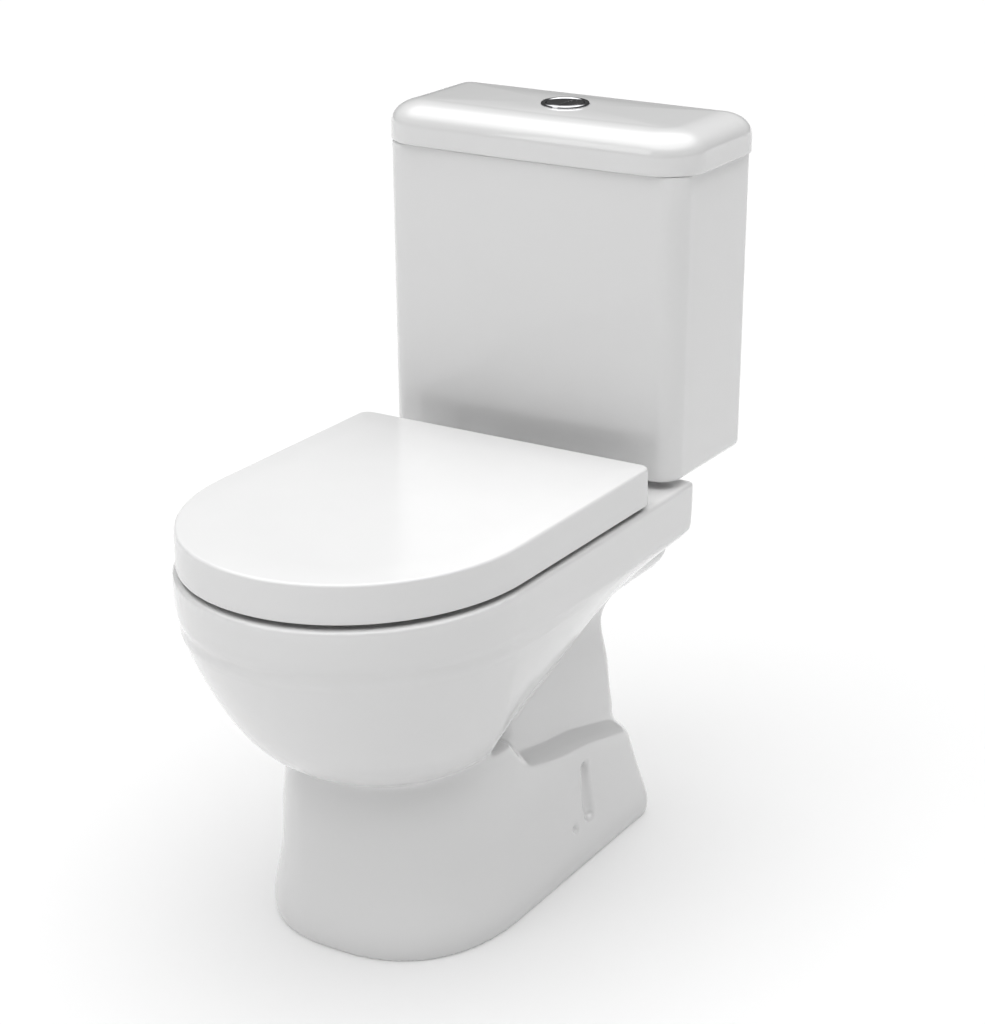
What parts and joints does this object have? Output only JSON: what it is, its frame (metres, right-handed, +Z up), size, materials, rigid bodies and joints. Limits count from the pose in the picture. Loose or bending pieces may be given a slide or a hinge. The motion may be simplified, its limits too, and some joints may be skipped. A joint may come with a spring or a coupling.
{
  "type": "close coupled toilet",
  "caption": "Close coupled toilet: glazed pan on a round-nosed pedestal, box cistern with pillow lid and push buttons, wrap-over seat cover and ring.",
  "frame": {"origin": "on the floor, midway between the cistern lid's back and the bowl's nose, on the centre plane", "axes": "+Z up, +Y towards the wall, +X to the right seen from the front"},
  "size_m": [0.365, 0.6564, 0.77],
  "materials": {
    "ceramic": "white vitreous glaze, glossy",
    "seat_plastic": "white moulded plastic, glossy",
    "chrome": "polished chrome plate",
    "buffer": "soft pale rubber",
    "seal": "black rubber",
    "valve_white": "white moulded valve plastic",
    "valve_blue": "blue moulded valve plastic",
    "steel": "stainless steel",
    "brass": "plain brass"
  },
  "bodies": {
    "base": {"pan_foot": "ceramic", "pan_trap": "ceramic", "pan_bowl": "ceramic", "pan_rim": "ceramic", "cistern_tank": "ceramic", "hinge_bases": "chrome", "hinge_pins": "steel", "seat_bolts": "steel", "seat_plugs": "seal", "flush_valve_base": "valve_white", "flush_valve_gasket": "seal", "flush_valve_nut": "valve_white", "valve_cage": "valve_white", "valve_head": "valve_blue", "coupling_gasket": "seal", "coupling_bolts": "brass", "coupling_rubbers": "seal", "coupling_washers": "steel", "coupling_nuts": "brass", "fill_valve_body": "valve_white", "fill_valve_washer": "seal", "fill_valve_nut": "valve_white", "lever_pin": "steel"},
    "seat": {"seat_ring": "seat_plastic", "ring_buffers": "buffer"},
    "cover": {"seat_cover": "seat_plastic", "cover_buffers": "buffer"},
    "lid": {"cistern_lid": "ceramic", "button_bezel": "chrome", "bezel_nut": "valve_white"},
    "full_button": {"full_flush_button": "chrome", "full_push_rod": "valve_white"},
    "half_button": {"half_flush_button": "chrome", "half_push_rod": "valve_white"},
    "overflow": {"overflow_tube": "valve_white", "valve_seal": "seal"},
    "float": {"float_cup": "valve_blue"},
    "lever": {"fill_lever": "valve_white"}
  },
  "joints": [
    {"name": "seat_hinge", "type": "hinge", "parent": "base", "child": "seat", "pos_m": [0, 0.10225, 0.424], "axis": [1, 0, 0], "range_deg": [-95, 0]},
    {"name": "cover_hinge", "type": "hinge", "parent": "seat", "child": "cover", "pos_m": [0, 0.10225, 0.424], "axis": [-1, 0, 0], "range_deg": [0, 95]},
    {"name": "lid_lift", "type": "slide", "parent": "base", "child": "lid", "axis": [0, 0, 1], "range_m": [0, 0.06]},
    {"name": "full_press", "type": "slide", "parent": "lid", "child": "full_button", "axis": [0, 0, -1], "range_m": [0, 0.005], "stiffness_N_per_m": 400, "springref_m": -0.008},
    {"name": "half_press", "type": "slide", "parent": "lid", "child": "half_button", "axis": [0, 0, -1], "range_m": [0, 0.005], "stiffness_N_per_m": 400, "springref_m": -0.004},
    {"name": "valve_lift", "type": "slide", "parent": "base", "child": "overflow", "axis": [0, 0, 1], "range_m": [0, 0.012]},
    {"name": "float_rise", "type": "slide", "parent": "base", "child": "float", "axis": [0, 0, 1], "range_m": [0, 0.008]},
    {"name": "lever_tilt", "type": "hinge", "parent": "base", "child": "lever", "pos_m": [-0.128, 0.229, 0.645], "axis": [1, 0, 0], "range_deg": [0, 30]}
  ],
  "couplings": [
    {"joint": "valve_lift", "follows": "full_press", "ratio": 2.4},
    {"joint": "lever_tilt", "follows": "float_rise", "rad_per_m": 61.087}
  ]
}
